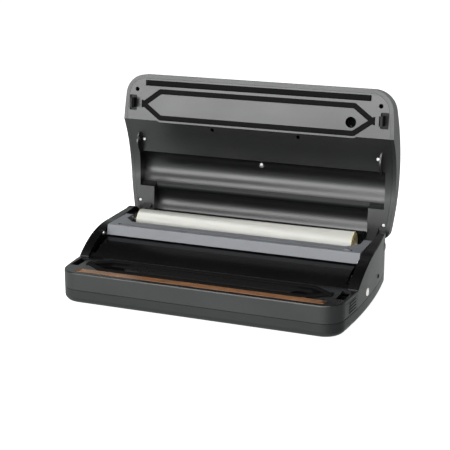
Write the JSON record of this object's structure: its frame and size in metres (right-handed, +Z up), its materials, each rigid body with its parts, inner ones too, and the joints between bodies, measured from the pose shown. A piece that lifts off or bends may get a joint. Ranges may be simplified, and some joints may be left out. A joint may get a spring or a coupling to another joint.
{
  "type": "vacuum sealer",
  "caption": "Countertop vacuum sealer with an open hinged lid, a sealing strip, a gasketed vacuum trough, a film roll bay and a lift-up film cutter.",
  "frame": {"origin": "middle of the part's box on the table, with the lid open as in the picture", "axes": "+X to the user's right along the sealing strip, +Y to the back, +Z up"},
  "size_m": [0.384, 0.2554, 0.2626],
  "materials": {
    "charcoal_plastic": "fine texture, satin",
    "black_plastic": "satin",
    "liner_plastic": "smooth, semi-gloss",
    "slate_plastic": "satin",
    "key_plastic": "satin",
    "gloss_panel": "gloss",
    "white_plastic": "semi-gloss",
    "light_lens": "clear, moulded",
    "rubber": "matt",
    "foam": "closed-cell foam, matt",
    "silicone": "translucent, matt",
    "silicone_black": "matt",
    "zinc_steel": "zinc plated",
    "blade_steel": "ground",
    "clip_metal": "dull",
    "resistance_alloy": "dull ribbon",
    "iron": "varnished laminations",
    "coil_wrap": "yellow tape wrap",
    "brass": "plain",
    "circuit_board": "solder mask",
    "bakelite": "moulded",
    "coated_tape": "coated glass cloth, satin",
    "film": "embossed film, wound",
    "card": "rolled card"
  },
  "bodies": {
    "base": {"base_housing": "charcoal_plastic", "deck_panel": "charcoal_plastic", "trough_tray": "charcoal_plastic", "roll_bay": "charcoal_plastic", "bottom_tray": "black_plastic", "rubber_feet": "rubber", "tray_screws": "zinc_steel", "cheek_screws": "zinc_steel", "seal_bar": "bakelite", "heating_element": "resistance_alloy", "seal_tape": "coated_tape", "tape_clips": "clip_metal", "lower_gasket": "foam", "suction_fitting": "white_plastic", "vacuum_hose": "silicone", "vacuum_pump": "black_plastic", "pump_motor": "zinc_steel", "transformer_core": "iron", "transformer_coil": "coil_wrap", "control_board": "circuit_board", "board_components": "black_plastic", "mains_inlet": "black_plastic", "inlet_pins": "brass", "accessory_port": "white_plastic", "vent_grommet": "rubber", "lid_switches": "black_plastic", "hinge_pins": "zinc_steel", "cutter_pivots": "zinc_steel", "release_spring_right": "zinc_steel", "release_spring_left": "zinc_steel"},
    "lid": {"lid_shell": "charcoal_plastic", "lid_liner": "liner_plastic", "upper_gasket": "foam", "pressure_strip": "silicone_black", "lid_hooks": "black_plastic", "lid_screws": "zinc_steel", "keypad_panel": "gloss_panel", "keypad_board": "circuit_board", "status_lights": "light_lens"},
    "cutter_frame": {"cutter_frame": "slate_plastic"},
    "cutter_slide": {"cutter_slider": "slate_plastic", "cutter_blade": "blade_steel"},
    "roll": {"film_roll": "film", "roll_core": "card"},
    "release_right": {"release_button_right": "charcoal_plastic"},
    "release_left": {"release_button_left": "charcoal_plastic"},
    "vacuum_seal_button": {"vacuum_seal_button": "key_plastic"},
    "seal_button": {"seal_button": "key_plastic"},
    "mode_button": {"mode_button": "key_plastic"},
    "pulse_button": {"pulse_button": "key_plastic"}
  },
  "joints": [
    {"name": "lid_hinge", "type": "hinge", "parent": "base", "child": "lid", "pos_m": [0, 0.07877, 0.0582], "axis": [-1, 0, 0], "range_deg": [-96.3, 0]},
    {"name": "cutter_lift", "type": "hinge", "parent": "base", "child": "cutter_frame", "pos_m": [0, 0.04977, 0.0695], "axis": [-1, 0, 0], "range_deg": [0, 75]},
    {"name": "cutter_slide", "type": "slide", "parent": "cutter_frame", "child": "cutter_slide", "axis": [-1, 0, 0], "range_m": [0, 0.311]},
    {"name": "roll_spin", "type": "hinge", "parent": "base", "child": "roll", "pos_m": [0, 0.04927, 0.066], "axis": [1, 0, 0], "continuous": true},
    {"name": "release_right_press", "type": "slide", "parent": "base", "child": "release_right", "axis": [-1, 0, 0], "range_m": [0, 0.0035], "stiffness_N_per_m": 900, "springref_m": -0.001, "deforming": ["release_spring_right"]},
    {"name": "release_left_press", "type": "slide", "parent": "base", "child": "release_left", "axis": [1, 0, 0], "range_m": [0, 0.0035], "stiffness_N_per_m": 900, "springref_m": -0.001, "deforming": ["release_spring_left"]},
    {"name": "vacuum_seal_button_press", "type": "slide", "parent": "lid", "child": "vacuum_seal_button", "axis": [0, -0.9778, -0.2097], "range_m": [0, 0.0008], "stiffness_N_per_m": 1200, "springref_m": -0.0004},
    {"name": "seal_button_press", "type": "slide", "parent": "lid", "child": "seal_button", "axis": [0, -0.9778, -0.2097], "range_m": [0, 0.0008], "stiffness_N_per_m": 1200, "springref_m": -0.0004},
    {"name": "mode_button_press", "type": "slide", "parent": "lid", "child": "mode_button", "axis": [0, -0.9778, -0.2097], "range_m": [0, 0.0008], "stiffness_N_per_m": 1200, "springref_m": -0.0004},
    {"name": "pulse_button_press", "type": "slide", "parent": "lid", "child": "pulse_button", "axis": [0, -0.9778, -0.2097], "range_m": [0, 0.0008], "stiffness_N_per_m": 1200, "springref_m": -0.0004}
  ]
}
